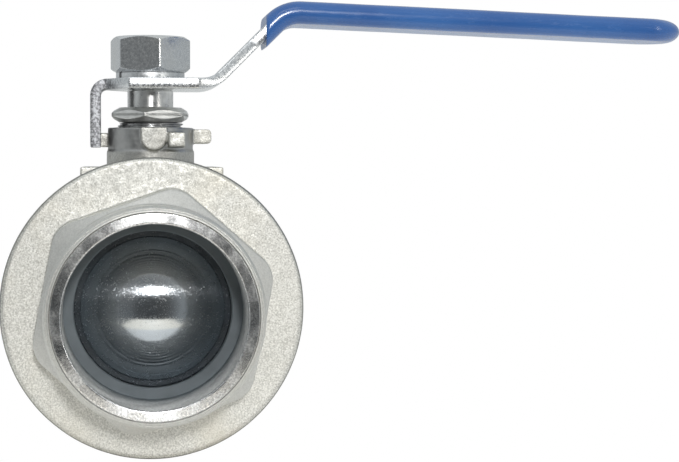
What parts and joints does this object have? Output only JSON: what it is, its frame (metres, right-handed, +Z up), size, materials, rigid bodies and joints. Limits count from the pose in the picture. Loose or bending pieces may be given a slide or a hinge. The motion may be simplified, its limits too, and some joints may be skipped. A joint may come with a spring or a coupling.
{
  "type": "ball valve",
  "caption": "Two-piece full-bore ball valve with female pipe threads, a stem packing gland and a quarter-turn lever with a soft sleeve.",
  "frame": {"origin": "centre of the inlet end face, on the bore axis", "axes": "+Y along the bore from inlet to outlet, +Z up the stem, +X the way the lever points when the valve is closed"},
  "size_m": [0.2302, 0.125, 0.1486],
  "materials": {
    "cast_steel": "investment-cast stainless steel, blasted, matt, with machined sealing faces",
    "polished_steel": "ground and polished stainless steel",
    "turned_steel": "turned stainless steel",
    "zinc_steel": "bright zinc-plated pressed steel, scratched",
    "blue_vinyl": "dipped soft vinyl, semi-gloss",
    "ptfe": "white PTFE, waxy",
    "black_rubber": "smooth black rubber"
  },
  "bodies": {
    "housing": {"body_casting": "cast_steel", "end_cap": "cast_steel", "body_gasket": "ptfe", "seat_inlet": "ptfe", "seat_outlet": "ptfe", "thrust_washer": "ptfe", "packing_bottom_ring": "ptfe", "packing_v_ring_1": "ptfe", "packing_v_ring_2": "ptfe", "packing_v_ring_3": "ptfe", "packing_top_ring": "ptfe", "gland_bush": "turned_steel", "gland_nut": "turned_steel"},
    "handle": {"stem": "turned_steel", "stem_o_ring": "black_rubber", "handle_lever": "zinc_steel", "handle_grip": "blue_vinyl", "lock_washer": "zinc_steel", "handle_nut": "zinc_steel"},
    "ball": {"ball": "polished_steel"}
  },
  "joints": [
    {"name": "handle_turn", "type": "hinge", "parent": "housing", "child": "handle", "pos_m": [0, 0.0625, 0.06], "axis": [0, 0, 1], "range_deg": [0, 90]},
    {"name": "ball_turn", "type": "hinge", "parent": "housing", "child": "ball", "pos_m": [0, 0.0625, 0], "axis": [0, 0, 1], "range_deg": [0, 90]}
  ],
  "couplings": [
    {"joint": "ball_turn", "follows": "handle_turn", "ratio": 1}
  ]
}
